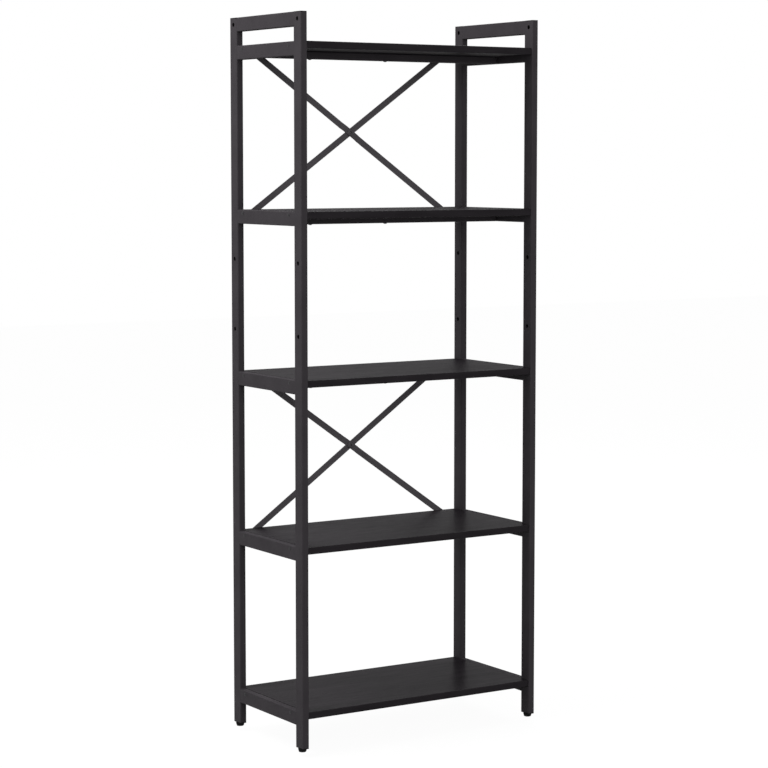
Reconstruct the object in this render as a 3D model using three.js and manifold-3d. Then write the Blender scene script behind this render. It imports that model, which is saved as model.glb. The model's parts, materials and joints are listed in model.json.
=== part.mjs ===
// Tall open bookcase: five boards between two ladder frames of rectangular steel tube.
// Lengths are millimetres. X runs across the width, -Y is the front and +Z is up. The origin lies
// on the floor, at the middle of the footprint.

import * as THREE from 'three';
import { mergeVertices } from 'three/addons/utils/BufferGeometryUtils.js';
import Module from 'manifold-3d';

const wasm = await Module();
wasm.setup();

// Overall size
const width = 600;
const depth = 300;
const height = 1545;

// Steel tube, one section for posts, rails and stretchers
const tubeThin = 15;
const tubeWide = 30;
const tubeWall = 1.2;
const tubeRadius = 2;

// Shelf levels from the floor up, and the open slot above the top one, where a hand fits
const levels = ['bottom', 'lower', 'middle', 'upper', 'top'];
const lowestShelfTop = 85;
const handSlotHeight = 30;

// Boards
const boardThickness = 15;
const boardFrontSetback = 3;
const boardRearSetback = 4;
const boardArris = 1;
const boardPlay = 0.5;

// Holes through the posts, for joining cases side by side
const linkHoleDiameter = 9;
const linkHoleSpacing = 152;

// Screw holes: through the side rails into the board ends, and up through the stretchers
const clearanceHole = 4.6;
const pilotHole = 3.4;
const endScrewInset = 22;
const endPilotDepth = 28;
const underScrewSpacing = 190;
const underPilotDepth = 9;

// Flat brace bars behind the boards, and the step that takes one over the other
const braceWidth = 14;
const braceThickness = 1.5;
const braceEndInset = 35;
const braceGap = 0.2;
const joggleRelief = 6;
const joggleRamp = 12;

// Screws through the bar ends into the rear edges of the boards
const screwDiameter = 3.8;
const screwLength = 18;
const screwPoint = 4;
const screwHeadDiameter = 8.5;
const screwHeadHeight = 1.9;
const screwHeadRim = 0.7;
const screwPlay = 0.3;
const screwTipPlay = 2;

// Rivets at the crossings, with a domed head in front and a flat tail behind
const rivetDiameter = 5;
const rivetHeadDiameter = 16;
const rivetHeadHeight = 3;
const rivetHeadRim = 0.6;
const rivetEyeDiameter = 4.5;
const rivetEyeDepth = 1;
const rivetTailDiameter = 10;
const rivetTailHeight = 1;
const rivetTailChamfer = 0.3;
const rivetPlay = 0.3;

// Plastic plugs in the tube ends: a lip over the rim, a body, and fins that grip the tube
const plugLip = 1.5;
const plugFinGap = 0.3;
const plugFinDepth = 0.7;
const plugFinThickness = 1;
const plugFinPitch = 8;
const plugRadius = 1;
const capDepth = 8;
const capWall = 1.5;
const insertDepth = 24;

// Levelling feet: a threaded stud in a tapered round pad
const padHeight = 8;
const padGap = 0.3;
const padTopDiameter = 19;
const padFloorDiameter = 16.5;
const padFloorRadius = 2.2;
const padTopRadius = 0.8;
const padPocketDepth = 5;
const studDiameter = 6;
const studReach = 20;
const studChamfer = 0.8;
const studPlay = 0.3;

// How far a cut runs past the faces that it goes through
const overrun = 1;

// Facets: steps of half a corner (seen and hidden ones), of half a quarter hole, of a turn, of an arc
const cornerSteps = 2;
const hiddenCornerSteps = 1;
const holeSteps = 4;
const linkHoleSteps = 8;
const barEndSteps = 5;
const padSteps = 16;
const fastenerSteps = 10;
const arcSteps = 3;

// Places that follow from the sizes
const innerX = width / 2 - tubeThin;
const postX = width / 2 - tubeThin / 2;
const postY = depth / 2 - tubeWide / 2;
const railLength = depth - 2 * tubeWide;
const postBottom = padHeight + plugLip;
const postTop = height - plugLip;
const shelfPitch = (height - tubeWide - handSlotHeight - lowestShelfTop) / (levels.length - 1);
const shelfTops = levels.map((level, index) => lowestShelfTop + index * shelfPitch);
const boardBack = depth / 2 - boardRearSetback;
const boardDepth = depth - boardFrontSetback - boardRearSetback;
const boardLength = 2 * (innerX - boardPlay);
const endScrewY = railLength / 2 - endScrewInset;
const braceY = boardBack + braceGap;
const braceX = innerX - braceEndInset;
const braceLength = Math.hypot(2 * braceX, shelfPitch);
const braceTilt = Math.atan2(shelfPitch, 2 * braceX);
const joggleDrop = braceThickness + braceGap;

const sides = { left: -1, right: 1 };
const ends = { front: -1, rear: 1 };
const corners = Object.keys(ends).flatMap((end) =>
  Object.keys(sides).map((side) => ({ name: `${end}_${side}`, x: sides[side], y: ends[end] })),
);

// The exact quarter turns that lay an outline's normal along X, Y or Z, and a flat bar on its edge
const axisX = new THREE.Vector3(1, 0, 0);
const axisY = new THREE.Vector3(0, 1, 0);
const axisZ = new THREE.Vector3(0, 0, 1);
const turns = {
  x: new THREE.Matrix4().makeBasis(axisY, axisZ, axisX),
  y: new THREE.Matrix4().makeBasis(axisZ, axisX, axisY),
  z: new THREE.Matrix4(),
};
const onEdge = new THREE.Matrix4().makeBasis(axisX, axisZ.clone().negate(), axisY);

function toSolid(geometry) {
  const bare = geometry.clone();
  bare.deleteAttribute('normal');
  bare.deleteAttribute('uv');
  const merged = mergeVertices(bare);
  const mesh = new wasm.Mesh({
    numProp: 3,
    vertProperties: merged.attributes.position.array,
    triVerts: Uint32Array.from(merged.index.array),
  });
  return new wasm.Manifold(mesh);
}

function toGeometry(solid) {
  const mesh = solid.getMesh();
  const geometry = new THREE.BufferGeometry();
  geometry.setAttribute('position', new THREE.BufferAttribute(mesh.vertProperties, 3));
  geometry.setIndex(new THREE.BufferAttribute(mesh.triVerts, 1));
  geometry.computeVertexNormals();
  return geometry;
}

function cutAll(geometry, cutters) {
  const cut = cutters.reduce((solid, cutter) => solid.subtract(toSolid(cutter)), toSolid(geometry));
  return toGeometry(cut);
}

function extrude(shape, length, curveSegments) {
  return new THREE.ExtrudeGeometry(shape, { depth: length, bevelEnabled: false, curveSegments });
}

// Rectangle about the origin with rounded corners
function roundedOutline(sizeX, sizeY, radius) {
  const r = Math.min(radius, sizeX / 2, sizeY / 2);
  const x = sizeX / 2 - r;
  const y = sizeY / 2 - r;
  const shape = new THREE.Shape();
  shape.absarc(x, y, r, 0, Math.PI / 2);
  shape.absarc(-x, y, r, Math.PI / 2, Math.PI);
  shape.absarc(-x, -y, r, Math.PI, 1.5 * Math.PI);
  shape.absarc(x, -y, r, 1.5 * Math.PI, 2 * Math.PI);
  return shape;
}

function circle(diameter, x = 0) {
  return new THREE.Shape().absarc(x, 0, diameter / 2, 0, 2 * Math.PI);
}

// Round cutter that starts at a point and runs along X, Y or Z
function drill(axis, diameter, x, y, z, length, steps = holeSteps) {
  const geometry = extrude(circle(diameter), length, steps);
  geometry.applyMatrix4(turns[axis]);
  geometry.translate(x, y, z);
  return geometry;
}

// Hollow tube with open ends, from its start along X, Y or Z
function tube(axis, sizeX, sizeY, length) {
  const shape = roundedOutline(sizeX, sizeY, tubeRadius);
  const innerRadius = Math.max(tubeRadius - tubeWall, tubeWall / 2);
  const bore = roundedOutline(sizeX - 2 * tubeWall, sizeY - 2 * tubeWall, innerRadius);
  shape.holes.push(new THREE.Path(bore.getPoints(hiddenCornerSteps)));
  const geometry = extrude(shape, length, cornerSteps);
  geometry.applyMatrix4(turns[axis]);
  return geometry;
}

// Points of an arc about a centre, as radius and height for a turned outline
function arc(centreR, centreZ, radius, from, to) {
  return Array.from({ length: arcSteps + 1 }, (unused, index) => {
    const angle = from + ((to - from) * index) / arcSteps;
    return [centreR + radius * Math.cos(angle), centreZ + radius * Math.sin(angle)];
  });
}

// Turned piece about Y, from its outline given upward as radius and height
function turned(outline, steps) {
  const points = outline.map(([radius, along]) => new THREE.Vector2(radius, along));
  return new THREE.LatheGeometry(points, steps);
}

// Low dome between two radii: it rises by the given height from the outer radius to the axis
function dome(outerRadius, innerRadius, rise) {
  const sphere = (outerRadius * outerRadius + rise * rise) / (2 * rise);
  return Array.from({ length: arcSteps + 1 }, (unused, index) => {
    const radius = innerRadius + ((outerRadius - innerRadius) * index) / arcSteps;
    return [radius, rise - sphere + Math.sqrt(sphere * sphere - radius * radius)];
  });
}

// Corner post, with its link holes through both thin walls
function post() {
  const middle = (shelfTops[2] + shelfTops[3] - boardThickness) / 2;
  const heights = [height - tubeWide / 2, middle + linkHoleSpacing / 2, middle - linkHoleSpacing / 2];
  const reach = tubeThin + 2 * overrun;
  const holes = heights.map((z) =>
    drill('x', linkHoleDiameter, -reach / 2, 0, z - postBottom, reach, linkHoleSteps),
  );
  return cutAll(tube('z', tubeThin, tubeWide, postTop - postBottom), holes);
}

// Rail between the posts of one frame; a side rail has clearance holes for the board screws
function rail(withScrewHoles) {
  const geometry = tube('y', tubeWide, tubeThin, railLength);
  geometry.translate(0, -railLength / 2, 0);
  if (!withScrewHoles) return geometry;
  const reach = tubeThin + 2 * overrun;
  const z = tubeWide / 2 - boardThickness / 2;
  const holes = Object.values(ends).map((end) =>
    drill('x', clearanceHole, -reach / 2, end * endScrewY, z, reach),
  );
  return cutAll(geometry, holes);
}

// Flat-lying tube under a board, with clearance holes for three screws from below
function stretcher() {
  const geometry = tube('x', tubeWide, tubeThin, boardLength);
  geometry.translate(-boardLength / 2, 0, 0);
  const reach = tubeThin + 2 * overrun;
  const holes = [-1, 0, 1].map((place) =>
    drill('z', clearanceHole, place * underScrewSpacing, 0, -reach / 2, reach),
  );
  return cutAll(geometry, holes);
}

// Board with eased long edges and blind screw holes in its ends, underside and, if braced, rear edge
function board(isBraced) {
  const geometry = extrude(roundedOutline(boardDepth, boardThickness, boardArris), boardLength, cornerSteps);
  geometry.applyMatrix4(turns.x);
  geometry.translate(-boardLength / 2, boardBack - boardDepth / 2, 0);
  const endReach = endPilotDepth + overrun;
  const holes = Object.values(ends).flatMap((end) => [
    drill('x', pilotHole, -boardLength / 2 - overrun, end * endScrewY, 0, endReach),
    drill('x', pilotHole, boardLength / 2 - endPilotDepth, end * endScrewY, 0, endReach),
  ]);
  for (const place of [-1, 0, 1]) {
    const z = -boardThickness / 2 - overrun;
    holes.push(drill('z', pilotHole, place * underScrewSpacing, 0, z, underPilotDepth + overrun));
  }
  if (isBraced) {
    const holeDepth = screwLength - braceThickness + screwTipPlay;
    const diameter = screwDiameter + 2 * screwPlay;
    for (const side of Object.values(sides)) {
      holes.push(drill('y', diameter, side * braceX, boardBack - holeDepth, 0, holeDepth + overrun));
    }
  }
  return cutAll(geometry, holes);
}

// Outline of a brace bar with round ends, a screw hole in each and a rivet hole in the middle
function barOutline() {
  const half = braceLength / 2;
  const radius = braceWidth / 2;
  const shape = new THREE.Shape();
  shape.absarc(half, 0, radius, -Math.PI / 2, Math.PI / 2);
  shape.absarc(-half, 0, radius, Math.PI / 2, 1.5 * Math.PI);
  const endHole = screwDiameter + 2 * screwPlay;
  shape.holes.push(circle(endHole, -half), circle(rivetDiameter + 2 * rivetPlay), circle(endHole, half));
  return shape;
}

function straightBar() {
  const geometry = extrude(barOutline(), braceThickness, barEndSteps);
  geometry.applyMatrix4(onEdge);
  return geometry;
}

// Bar that steps forward over its partner at the crossing: the flat outline is cut from a blank
// that follows the stepped edge
function joggledBar() {
  const crossing = 2 * braceTilt;
  const overlap = ((braceWidth / 2) * (1 + Math.abs(Math.cos(crossing)))) / Math.sin(crossing);
  const flat = overlap + joggleRelief;
  const foot = flat + joggleRamp;
  const end = braceLength / 2 + braceWidth / 2 + overrun;
  const back = [[-end, 0], [-foot, 0], [-flat, -joggleDrop], [flat, -joggleDrop], [foot, 0], [end, 0]];
  const front = back.map(([along, y]) => [along, y + braceThickness]).reverse();
  const edge = new THREE.Shape([...back, ...front].map(([along, y]) => new THREE.Vector2(along, y)));
  const blank = extrude(edge, braceWidth + 2 * overrun, barEndSteps);
  blank.translate(0, 0, -braceWidth / 2 - overrun);
  const flatBar = extrude(barOutline(), joggleDrop + braceThickness, barEndSteps);
  flatBar.applyMatrix4(onEdge);
  flatBar.translate(0, -joggleDrop, 0);
  return toGeometry(toSolid(flatBar).intersect(toSolid(blank)));
}

// Rivet through both bars at their crossing, with an eye in its domed front head
function rivet() {
  const headUnder = braceY - joggleDrop - braceGap;
  const tailUnder = braceY + braceThickness + braceGap;
  const headRadius = rivetHeadDiameter / 2;
  const eye = rivetEyeDiameter / 2;
  const crown = dome(headRadius, eye, rivetHeadHeight - rivetHeadRim);
  const tailEnd = tailUnder + rivetTailHeight;
  const outline = [
    [0, headUnder - rivetHeadHeight + rivetEyeDepth],
    [eye, headUnder - rivetHeadHeight + rivetEyeDepth],
    ...crown.map(([radius, rise]) => [radius, headUnder - rivetHeadRim - rise]),
    [headRadius, headUnder],
    [rivetDiameter / 2, headUnder],
    [rivetDiameter / 2, tailUnder],
    [rivetTailDiameter / 2, tailUnder],
    [rivetTailDiameter / 2, tailEnd - rivetTailChamfer],
    [rivetTailDiameter / 2 - rivetTailChamfer, tailEnd],
    [0, tailEnd],
  ];
  return turned(outline, padSteps);
}

// Pan-head screw that holds a bar end to a board's rear edge
function braceScrew() {
  const headUnder = braceY + braceThickness + braceGap;
  const crown = dome(screwHeadDiameter / 2, 0, screwHeadHeight - screwHeadRim).reverse();
  const outline = [
    [0, headUnder - screwLength],
    [screwDiameter / 2, headUnder - screwLength + screwPoint],
    [screwDiameter / 2, headUnder],
    [screwHeadDiameter / 2, headUnder],
    ...crown.map(([radius, rise]) => [radius, headUnder + screwHeadRim + rise]),
  ];
  return turned(outline, fastenerSteps);
}

// Plug for an open tube end, lip down and body up, with fins that stop just short of the tube's wall
function plug(bodyDepth) {
  const finX = tubeThin - 2 * tubeWall - 2 * plugFinGap;
  const finY = tubeWide - 2 * tubeWall - 2 * plugFinGap;
  const bodyX = finX - 2 * plugFinDepth;
  const bodyY = finY - 2 * plugFinDepth;
  const lip = extrude(roundedOutline(tubeThin, tubeWide, tubeRadius), plugLip, cornerSteps);
  const bodyOutline = roundedOutline(bodyX, bodyY, plugRadius);
  const body = extrude(bodyOutline, plugLip / 2 + bodyDepth, hiddenCornerSteps);
  body.translate(0, 0, plugLip / 2);
  const finCount = Math.floor(bodyDepth / plugFinPitch);
  const fins = Array.from({ length: finCount }, (unused, index) => {
    const fin = extrude(roundedOutline(finX, finY, plugRadius), plugFinThickness, hiddenCornerSteps);
    fin.translate(0, 0, plugLip + (index + 1) * plugFinPitch - 2 * plugFinThickness);
    return fin;
  });
  return [body, ...fins].reduce((solid, piece) => solid.add(toSolid(piece)), toSolid(lip));
}

// Hollow cap for the top of a post, turned over so that its lip is up
function postCap() {
  const hollowX = tubeThin - 2 * (tubeWall + plugFinGap + plugFinDepth + capWall);
  const hollowY = tubeWide - 2 * (tubeWall + plugFinGap + plugFinDepth + capWall);
  const hollowOutline = roundedOutline(hollowX, hollowY, plugRadius / 2);
  const hollow = extrude(hollowOutline, capDepth + overrun, hiddenCornerSteps);
  hollow.translate(0, 0, plugLip);
  const geometry = toGeometry(plug(capDepth).subtract(toSolid(hollow)));
  geometry.scale(1, -1, -1);
  return geometry;
}

// Threaded plug in the foot of a post, bored for the stud
function footInsert() {
  const reach = plugLip + insertDepth + 2 * overrun;
  const bore = drill('z', studDiameter + 2 * studPlay, 0, 0, -overrun, reach);
  return toGeometry(plug(insertDepth).subtract(toSolid(bore)));
}

// Round tapered pad with a pocket that holds the stud
function footPad() {
  const top = padHeight - padGap;
  const pocket = studDiameter / 2 + studPlay;
  const outline = [
    [0, 0],
    ...arc(padFloorDiameter / 2 - padFloorRadius, padFloorRadius, padFloorRadius, -Math.PI / 2, 0),
    ...arc(padTopDiameter / 2 - padTopRadius, top - padTopRadius, padTopRadius, 0, Math.PI / 2),
    [pocket, top],
    [pocket, top - padPocketDepth],
    [0, top - padPocketDepth],
  ];
  const geometry = turned(outline, padSteps);
  geometry.applyMatrix4(turns.x);
  return geometry;
}

// Stud from the pad's pocket up into the threaded plug
function footStud() {
  const bottom = padHeight - padGap - padPocketDepth + studPlay;
  const top = padHeight + studReach;
  const radius = studDiameter / 2;
  const outline = [
    [0, bottom],
    [radius - studChamfer, bottom],
    [radius, bottom + studChamfer],
    [radius, top - studChamfer],
    [radius - studChamfer, top],
    [0, top],
  ];
  const geometry = turned(outline, fastenerSteps);
  geometry.applyMatrix4(turns.x);
  return geometry;
}

// Finishes
function finish(color, roughness, metalness) {
  return () => new THREE.MeshStandardMaterial({ color, roughness, metalness });
}

const powderCoat = finish(0x2c2b2d, 0.55, 0.2);
const blackBoard = finish(0x1b1a1c, 0.35, 0);
const blackPlastic = finish(0x141415, 0.6, 0);
const blackFastener = finish(0x18181a, 0.4, 0.6);
const zincSteel = finish(0xa9adb2, 0.35, 1);

const bookcase = new THREE.Group();

function place(name, geometry, material, x, y, z, tilt = 0) {
  const mesh = new THREE.Mesh(geometry, material);
  mesh.name = name;
  mesh.position.set(x, y, z);
  mesh.rotation.y = tilt;
  bookcase.add(mesh);
}

// Corner posts with a cap above and a levelling foot below
function addCorner({ name, x, y }) {
  const atX = x * postX;
  const atY = y * postY;
  place(`post_${name}`, post(), powderCoat(), atX, atY, postBottom);
  place(`post_cap_${name}`, postCap(), blackPlastic(), atX, atY, height);
  place(`foot_insert_${name}`, footInsert(), blackPlastic(), atX, atY, padHeight);
  place(`foot_stud_${name}`, footStud(), zincSteel(), atX, atY, 0);
  place(`foot_pad_${name}`, footPad(), blackPlastic(), atX, atY, 0);
}

// One shelf: a rail at each end, the board flush with their tops, and the stretcher under it
function addShelf(level, index) {
  const top = shelfTops[index];
  for (const [side, sign] of Object.entries(sides)) {
    place(`side_rail_${side}_${level}`, rail(true), powderCoat(), sign * postX, 0, top - tubeWide / 2);
  }
  const isBraced = index > 0;
  place(`shelf_board_${level}`, board(isBraced), blackBoard(), 0, 0, top - boardThickness / 2);
  const under = top - boardThickness - tubeThin / 2;
  place(`stretcher_${level}`, stretcher(), powderCoat(), 0, 0, under);
}

// Crossed bars behind the bay that lies under a shelf, riveted together and screwed to both boards
function addBrace(name, upperIndex) {
  const screwHeights = {
    top: shelfTops[upperIndex] - boardThickness / 2,
    bottom: shelfTops[upperIndex - 1] - boardThickness / 2,
  };
  const middle = (screwHeights.top + screwHeights.bottom) / 2;
  place(`brace_${name}_joggled`, joggledBar(), powderCoat(), 0, braceY, middle, braceTilt);
  place(`brace_${name}_straight`, straightBar(), powderCoat(), 0, braceY, middle, -braceTilt);
  place(`brace_rivet_${name}`, rivet(), blackFastener(), 0, 0, middle);
  for (const [end, z] of Object.entries(screwHeights)) {
    for (const [side, sign] of Object.entries(sides)) {
      place(`brace_screw_${name}_${end}_${side}`, braceScrew(), blackFastener(), sign * braceX, 0, z);
    }
  }
}

corners.forEach(addCorner);
for (const [side, sign] of Object.entries(sides)) {
  place(`handle_rail_${side}`, rail(false), powderCoat(), sign * postX, 0, height - tubeWide / 2);
}
levels.forEach(addShelf);
addBrace('upper', levels.indexOf('top'));
addBrace('lower', levels.indexOf('middle'));

export default bookcase;
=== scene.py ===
# %% [markdown]
# # A tall open bookcase of steel tube and black boards
# Two ladder frames of rectangular tube carry five boards. A flat tube stiffens each board from
# below, crossed bars brace two of the bays from behind, and four feet level the case. Solids with
# the real sizes are loaded first, and each piece below is then modelled where its solid stands.

# %% Load the solids that hold every size
import json
import math
import bmesh
import bpy
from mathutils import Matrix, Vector


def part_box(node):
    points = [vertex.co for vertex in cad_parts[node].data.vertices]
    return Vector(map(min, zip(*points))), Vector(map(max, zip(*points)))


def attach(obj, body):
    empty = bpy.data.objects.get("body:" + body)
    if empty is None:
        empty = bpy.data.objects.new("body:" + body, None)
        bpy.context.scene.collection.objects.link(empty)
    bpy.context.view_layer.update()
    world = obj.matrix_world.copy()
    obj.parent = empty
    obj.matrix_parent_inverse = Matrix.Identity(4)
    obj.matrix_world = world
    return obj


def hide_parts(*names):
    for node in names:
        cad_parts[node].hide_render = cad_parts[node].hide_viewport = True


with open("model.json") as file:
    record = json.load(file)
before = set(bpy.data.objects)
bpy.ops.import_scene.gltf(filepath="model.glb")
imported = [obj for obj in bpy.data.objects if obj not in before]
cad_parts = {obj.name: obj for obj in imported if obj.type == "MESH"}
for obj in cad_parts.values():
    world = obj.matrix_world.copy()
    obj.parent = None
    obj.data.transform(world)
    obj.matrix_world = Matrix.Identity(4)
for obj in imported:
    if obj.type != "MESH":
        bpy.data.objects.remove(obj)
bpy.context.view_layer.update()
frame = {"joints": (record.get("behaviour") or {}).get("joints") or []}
bpy.ops.object.select_all(action="DESELECT")
mm = 0.001

# %% [markdown]
# ## Camera
# The case is seen from its left front, from chest height and through a long lens, so that its
# posts look almost parallel. A shifted lens would keep them exactly upright, but a large shift
# pushes the case out of every other view, so most of it is a tilt of a few degrees downwards.

# %% Place the camera
camera = bpy.data.objects.new("camera", bpy.data.cameras.new("camera"))
bpy.context.scene.collection.objects.link(camera)
camera.data.sensor_width = 36
camera.data.lens = 108.3
camera.data.shift_y = -0.02
camera_turn = math.radians(32.531)
camera_tilt = math.radians(5.133)
camera.location = (-2.7161, -4.2539, 1.2392)
camera.rotation_euler = (math.pi / 2 - camera_tilt, 0, -camera_turn)
bpy.context.scene.camera = camera
bpy.context.scene.view_settings.view_transform = "Standard"
print("camera at", tuple(round(value, 3) for value in camera.location))

# %% [markdown]
# ## Background
# The case stands on plain white, with only a breath of shadow. What the camera, a reflection or a
# glass would see of the surroundings is white by itself, so no lamp has to be turned up for it,
# and a softer grey lights the case from all round. Two helpers come first: one adds a shader node
# with its settings and inputs, and the other tells which rays see the white.

# %% Light the case from all round
def add_node(tree, kind, inputs=None, **settings):
    """A node with these settings, and with inputs that are values or come from other nodes."""
    node = tree.nodes.new(f"ShaderNode{kind}")
    for setting, value in settings.items():
        setattr(node, setting, value)
    for socket, value in (inputs or {}).items():
        if isinstance(value, bpy.types.NodeSocket):
            tree.links.new(value, node.inputs[socket])
        else:
            node.inputs[socket].default_value = value
    return node


def sees_background(tree):
    """1 for rays of the camera, of reflections and of glass, and 0 for all others."""
    path = add_node(tree, "LightPath")
    camera_or_gloss = {0: path.outputs["Is Camera Ray"], 1: path.outputs["Is Glossy Ray"]}
    first = add_node(tree, "Math", camera_or_gloss, operation="ADD")
    or_glass = {0: first.outputs[0], 1: path.outputs["Is Transmission Ray"]}
    return add_node(tree, "Math", or_glass, operation="ADD", use_clamp=True).outputs[0]


world = bpy.data.worlds.new("white_room")
bpy.context.scene.world = world
world.use_nodes = True
world_tree = world.node_tree
ambient = world_tree.nodes["Background"]
ambient.inputs["Color"].default_value = (1, 1, 1, 1)
ambient.inputs["Strength"].default_value = 0.6
seen_white = add_node(world_tree, "Background", {"Color": (1, 1, 1, 1), "Strength": 1})
either = {0: sees_background(world_tree), 1: ambient.outputs[0], 2: seen_white.outputs[0]}
choice = add_node(world_tree, "MixShader", either)
world_tree.links.new(choice.outputs[0], world_tree.nodes["World Output"].inputs["Surface"])
print("world:", world.name)

# %% [markdown]
# The floor is a wide pale sheet. For the camera, most of it shines by itself and the rest is a
# matt white that takes light, so the case still casts a faint shadow on it. The light that it
# throws back up at the case is that of a plain grey floor. It lies as low as the feet can be
# screwed out, so that the pads show at every setting. On plain white nobody can tell that gap.

# %% Lay the floor
foot_travel = max(joint["range_m"][1] for joint in frame["joints"])
floor_gap = 0.2 * mm
bpy.ops.mesh.primitive_plane_add(size=24, location=(0, 0, -foot_travel - floor_gap))
floor = bpy.context.object
floor.name = "floor"
floor_paint = bpy.data.materials.new("floor_paint")
floor_paint.use_nodes = True
floor_tree = floor_paint.node_tree
floor_tree.nodes.remove(floor_tree.nodes["Principled BSDF"])
seen = sees_background(floor_tree)
greys = {"Factor": seen, "A": (0.25, 0.25, 0.25, 1), "B": (0.98, 0.98, 0.98, 1)}
tone = add_node(floor_tree, "Mix", greys, data_type="RGBA")
matt = add_node(floor_tree, "BsdfDiffuse", {"Color": tone.outputs["Result"]})
shine = add_node(floor_tree, "Emission", {"Strength": 1.01})
share = add_node(floor_tree, "Math", {0: seen, 1: 0.95}, operation="MULTIPLY")
either = {0: share.outputs[0], 1: matt.outputs[0], 2: shine.outputs[0]}
floor_mix = add_node(floor_tree, "MixShader", either)
floor_tree.links.new(floor_mix.outputs[0], floor_tree.nodes["Material Output"].inputs["Surface"])
floor.data.materials.append(floor_paint)
print("floor laid at", round(floor.location.z / mm, 1), "mm")

# %% [markdown]
# ## Lamps
# The side of the case is a little lighter than its front, and its top a little lighter than its
# foot. A soft lamp high on the left gives both. A wider one in front, farther off, keeps the front
# from going flat black. Another does the same for the back, so high up that its glare off the
# boards passes over the camera.

# %% Hang the soft lamps
case_middle = Vector((0, 0, 0.8))


def soft_lamp(name, place, size, power):
    """Square lamp that looks at the middle of the case."""
    lamp = bpy.data.objects.new(name, bpy.data.lights.new(name, "AREA"))
    bpy.context.scene.collection.objects.link(lamp)
    lamp.data.size = size
    lamp.data.energy = power
    lamp.location = place
    to_case = case_middle - lamp.location
    lamp.rotation_euler = to_case.to_track_quat("-Z", "Y").to_euler()
    return lamp


soft_lamp("lamp_left", place=(-1.9, 0.2, 3), size=1.4, power=69)
soft_lamp("lamp_front", place=(-0.8, -4.6, 1.9), size=2.4, power=72)
soft_lamp("lamp_rear", place=(2.2, 2.6, 4), size=2.4, power=80)

# %% [markdown]
# ## Finishes
# Every finish here is a procedural one that is laid out in the object's own space, so it keeps its
# scale on every piece. A few helpers come first: a noise, the same noise as a range of numbers or
# tones, a relief made of it, and a roughness that grows where a face is seen at a grazing angle.

# %% Helpers for the finishes
def new_finish(name, specular, metallic=0):
    """A material, with the settings that are the same all over it on the shader itself."""
    material = bpy.data.materials.new(name)
    material.use_nodes = True
    shader = material.node_tree.nodes["Principled BSDF"]
    shader.inputs["Specular IOR Level"].default_value = specular
    shader.inputs["Metallic"].default_value = metallic
    return material


def noise(material, scale, stretch=(1, 1, 1), detail=2, roughness=0.5):
    """Noise with so many bumps a metre, stretched along the axes."""
    tree = material.node_tree
    place = add_node(tree, "TexCoord").outputs["Object"]
    drawn = add_node(tree, "Mapping", {"Vector": place, "Scale": stretch}).outputs["Vector"]
    grain = {"Vector": drawn, "Scale": scale, "Detail": detail, "Roughness": roughness}
    return add_node(tree, "TexNoise", grain).outputs["Fac"]


def between(material, amount, low, high, start=0.3, end=0.7):
    """The noise as a number between two values."""
    spread = {"Value": amount, "From Min": start, "From Max": end, "To Min": low, "To Max": high}
    return add_node(material.node_tree, "MapRange", spread).outputs["Result"]


def duller_at_a_glance(material, gloss, extra, start, end):
    """The roughness, with more of it where the face is seen at a grazing angle."""
    tree = material.node_tree
    glance = add_node(tree, "LayerWeight").outputs["Facing"]
    glance_gloss = between(material, glance, low=0, high=extra, start=start, end=end)
    return add_node(tree, "Math", {0: gloss, 1: glance_gloss}, operation="ADD").outputs[0]


def tones(material, amount, dark, light, start=0.3, end=0.7):
    """The noise as a tone between two colours."""
    share = between(material, amount, low=0, high=1, start=start, end=end)
    blend = {"Factor": share, "A": (*dark, 1), "B": (*light, 1)}
    return add_node(material.node_tree, "Mix", blend, data_type="RGBA").outputs["Result"]


def relief(material, amount, height, strength, under=None):
    """Bumps of a height in metres, over those of another relief if there is one."""
    bump = {"Height": amount, "Distance": height, "Strength": strength}
    if under:
        bump["Normal"] = under
    return add_node(material.node_tree, "Bump", bump).outputs["Normal"]


def wear(material, colour, roughness, normal):
    """Joins a colour, a roughness and a relief to the material's shader."""
    shader = material.node_tree.nodes["Principled BSDF"]
    for value, socket in ((colour, "Base Color"), (roughness, "Roughness"), (normal, "Normal")):
        material.node_tree.links.new(value, shader.inputs[socket])


print("finish helpers are ready")

# %% [markdown]
# ### Powder coat
# Powder is baked onto the steel as a thin black skin with a fine orange peel, and its black is not
# quite even. The peel is a relief of about a tenth of a millimetre, and two slow noises move the
# tone and the gloss a little. Looked along, the peel breaks up what a smooth face would mirror, so
# the coat is duller there.

# %% Mix the powder coat
powder_coat = new_finish("black_powder_coat", specular=0.05)
peel_noise = noise(powder_coat, scale=620, detail=3)
peel = relief(powder_coat, peel_noise, height=0.2 * mm, strength=0.45)
grit_noise = noise(powder_coat, scale=3200, detail=2)
grit = relief(powder_coat, grit_noise, height=0.03 * mm, strength=0.3, under=peel)
coat_cloud = noise(powder_coat, scale=14, detail=4)
coat_tone = tones(powder_coat, coat_cloud, dark=(0.034, 0.0303, 0.034), light=(0.041, 0.0366, 0.041))
coat_gloss = between(powder_coat, noise(powder_coat, scale=55, detail=3), low=0.48, high=0.6)
coat_gloss = duller_at_a_glance(powder_coat, coat_gloss, extra=0.4, start=0.6, end=0.85)
wear(powder_coat, coat_tone, coat_gloss, grit)
print("finish:", powder_coat.name)
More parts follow.
